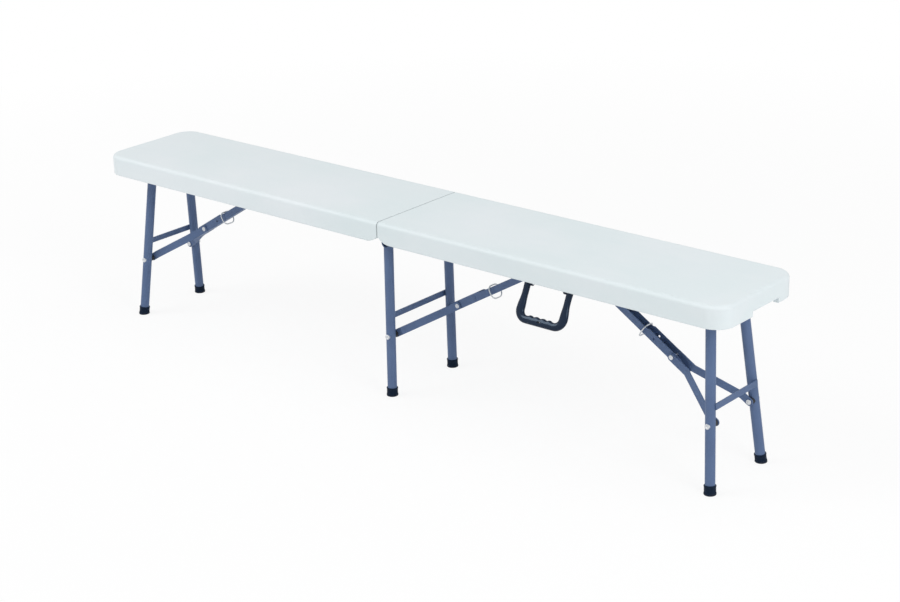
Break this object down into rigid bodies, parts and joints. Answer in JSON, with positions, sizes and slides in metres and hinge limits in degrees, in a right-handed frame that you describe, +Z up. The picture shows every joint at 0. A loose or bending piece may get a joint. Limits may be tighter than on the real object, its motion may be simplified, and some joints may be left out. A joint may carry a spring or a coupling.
{
  "type": "folding bench",
  "caption": "Long low bench with a pale moulded seat in two halves that close on a centre hinge, splayed tube leg frames, folding braces and a carrying handle.",
  "frame": {"origin": "on the floor, under the middle of the seat", "axes": "+Z up, +X along the seat towards the half with the carrying handle, -Y the front with the handle"},
  "size_m": [1.83, 0.3014, 0.43],
  "materials": {
    "seat_plastic": "fine moulded grain, light cool white",
    "frame_paint": "steel-blue powder coat, satin",
    "cap_plastic": "near-black moulded plastic",
    "handle_plastic": "glossy near-black moulded plastic",
    "clamp_plastic": "black nylon",
    "zinc_steel": "bright zinc plate"
  },
  "bodies": {
    "right_half": {"seat_right": "seat_plastic", "right_hinge_brackets": "frame_paint", "right_hinge_screws": "zinc_steel", "right_strut_brackets": "frame_paint", "right_strut_pins": "zinc_steel", "right_bracket_screws": "zinc_steel", "right_pivot_clamps": "clamp_plastic", "right_clamp_screws": "zinc_steel", "handle_bracket": "handle_plastic", "handle_pins": "zinc_steel", "handle_screws": "zinc_steel"},
    "left_half": {"seat_left": "seat_plastic", "left_hinge_brackets": "frame_paint", "left_hinge_screws": "zinc_steel", "left_strut_brackets": "frame_paint", "left_strut_pins": "zinc_steel", "left_bracket_screws": "zinc_steel", "left_pivot_clamps": "clamp_plastic", "left_clamp_screws": "zinc_steel"},
    "right_legs": {"right_front_leg": "frame_paint", "right_rear_leg": "frame_paint", "right_pivot_tube": "frame_paint", "right_crossbar": "frame_paint", "right_foot_caps": "cap_plastic", "right_leg_rivets": "zinc_steel", "right_strap_spacers": "clamp_plastic"},
    "right_straps": {"right_front_strap": "frame_paint", "right_rear_strap": "frame_paint", "right_knee_rivets": "zinc_steel"},
    "right_strut_arm": {"right_strut": "frame_paint", "right_knee_pin": "zinc_steel"},
    "right_ring": {"right_lock_ring": "zinc_steel"},
    "left_legs": {"left_front_leg": "frame_paint", "left_rear_leg": "frame_paint", "left_pivot_tube": "frame_paint", "left_crossbar": "frame_paint", "left_foot_caps": "cap_plastic", "left_leg_rivets": "zinc_steel", "left_strap_spacers": "clamp_plastic"},
    "left_straps": {"left_front_strap": "frame_paint", "left_rear_strap": "frame_paint", "left_knee_rivets": "zinc_steel"},
    "left_strut_arm": {"left_strut": "frame_paint", "left_knee_pin": "zinc_steel"},
    "left_ring": {"left_lock_ring": "zinc_steel"},
    "middle_legs": {"middle_front_leg": "frame_paint", "middle_rear_leg": "frame_paint", "centre_axle": "frame_paint", "middle_crossbar": "frame_paint", "middle_foot_caps": "cap_plastic", "middle_leg_rivets": "zinc_steel", "middle_strap_spacers": "clamp_plastic"},
    "middle_straps": {"middle_front_strap": "frame_paint", "middle_rear_strap": "frame_paint", "middle_knee_rivets": "zinc_steel"},
    "middle_strut_arm": {"middle_strut": "frame_paint", "middle_knee_pin": "zinc_steel"},
    "middle_ring": {"middle_lock_ring": "zinc_steel"},
    "carry_handle": {"handle": "handle_plastic"}
  },
  "joints": [
    {"name": "centre_fold", "type": "hinge", "parent": "right_half", "child": "left_half", "pos_m": [0, 0, 0.373], "axis": [0, -1, 0], "range_deg": [0, 180]},
    {"name": "right_leg_fold", "type": "hinge", "parent": "right_half", "child": "right_legs", "pos_m": [0.8335, 0, 0.396], "axis": [0, 1, 0], "range_deg": [0, 94.84]},
    {"name": "right_strap_fold", "type": "hinge", "parent": "right_legs", "child": "right_straps", "pos_m": [0.85456, 0, 0.147], "axis": [0, 1, 0], "range_deg": [0, 53.24]},
    {"name": "right_strut_fold", "type": "hinge", "parent": "right_half", "child": "right_strut_arm", "pos_m": [0.455, 0, 0.396], "axis": [0, -1, 0], "range_deg": [0, 31.94]},
    {"name": "right_ring_slide", "type": "slide", "parent": "right_strut_arm", "child": "right_ring", "axis": [-0.8487, 0, 0.5289], "range_m": [0, 0.034]},
    {"name": "left_leg_fold", "type": "hinge", "parent": "left_half", "child": "left_legs", "pos_m": [-0.8335, 0, 0.396], "axis": [0, -1, 0], "range_deg": [0, 94.84]},
    {"name": "left_strap_fold", "type": "hinge", "parent": "left_legs", "child": "left_straps", "pos_m": [-0.85456, 0, 0.147], "axis": [0, -1, 0], "range_deg": [0, 53.24]},
    {"name": "left_strut_fold", "type": "hinge", "parent": "left_half", "child": "left_strut_arm", "pos_m": [-0.455, 0, 0.396], "axis": [0, 1, 0], "range_deg": [0, 31.94]},
    {"name": "left_ring_slide", "type": "slide", "parent": "left_strut_arm", "child": "left_ring", "axis": [0.8487, 0, 0.5289], "range_m": [0, 0.034]},
    {"name": "middle_leg_fold", "type": "hinge", "parent": "right_half", "child": "middle_legs", "pos_m": [0, 0, 0.373], "axis": [0, -1, 0], "range_deg": [0, 90.01]},
    {"name": "middle_strap_fold", "type": "hinge", "parent": "middle_legs", "child": "middle_straps", "pos_m": [0, 0, 0.147], "axis": [0, -1, 0], "range_deg": [0, 59.64]},
    {"name": "middle_strut_fold", "type": "hinge", "parent": "right_half", "child": "middle_strut_arm", "pos_m": [0.3857, 0, 0.373], "axis": [0, 1, 0], "range_deg": [0, 30.38]},
    {"name": "middle_ring_slide", "type": "slide", "parent": "middle_strut_arm", "child": "middle_ring", "axis": [0.8628, 0, 0.5056], "range_m": [0, 0.1]},
    {"name": "handle_swing", "type": "hinge", "parent": "right_half", "child": "carry_handle", "pos_m": [0.4685, -0.118, 0.373], "axis": [-1, 0, 0], "range_deg": [0, 64.31]}
  ],
  "couplings": [
    {"joint": "right_leg_fold", "follows": "centre_fold", "ratio": 0.52686},
    {"joint": "right_strap_fold", "follows": "centre_fold", "ratio": 0.29575},
    {"joint": "right_strut_fold", "follows": "centre_fold", "ratio": 0.17739},
    {"joint": "left_leg_fold", "follows": "centre_fold", "ratio": 0.52686},
    {"joint": "left_strap_fold", "follows": "centre_fold", "ratio": 0.29575},
    {"joint": "left_strut_fold", "follows": "centre_fold", "ratio": 0.17739},
    {"joint": "middle_leg_fold", "follows": "centre_fold", "ratio": 0.5},
    {"joint": "middle_strap_fold", "follows": "centre_fold", "ratio": 0.33129},
    {"joint": "middle_strut_fold", "follows": "centre_fold", "ratio": 0.16871},
    {"joint": "handle_swing", "follows": "centre_fold", "ratio": 0.35722}
  ]
}
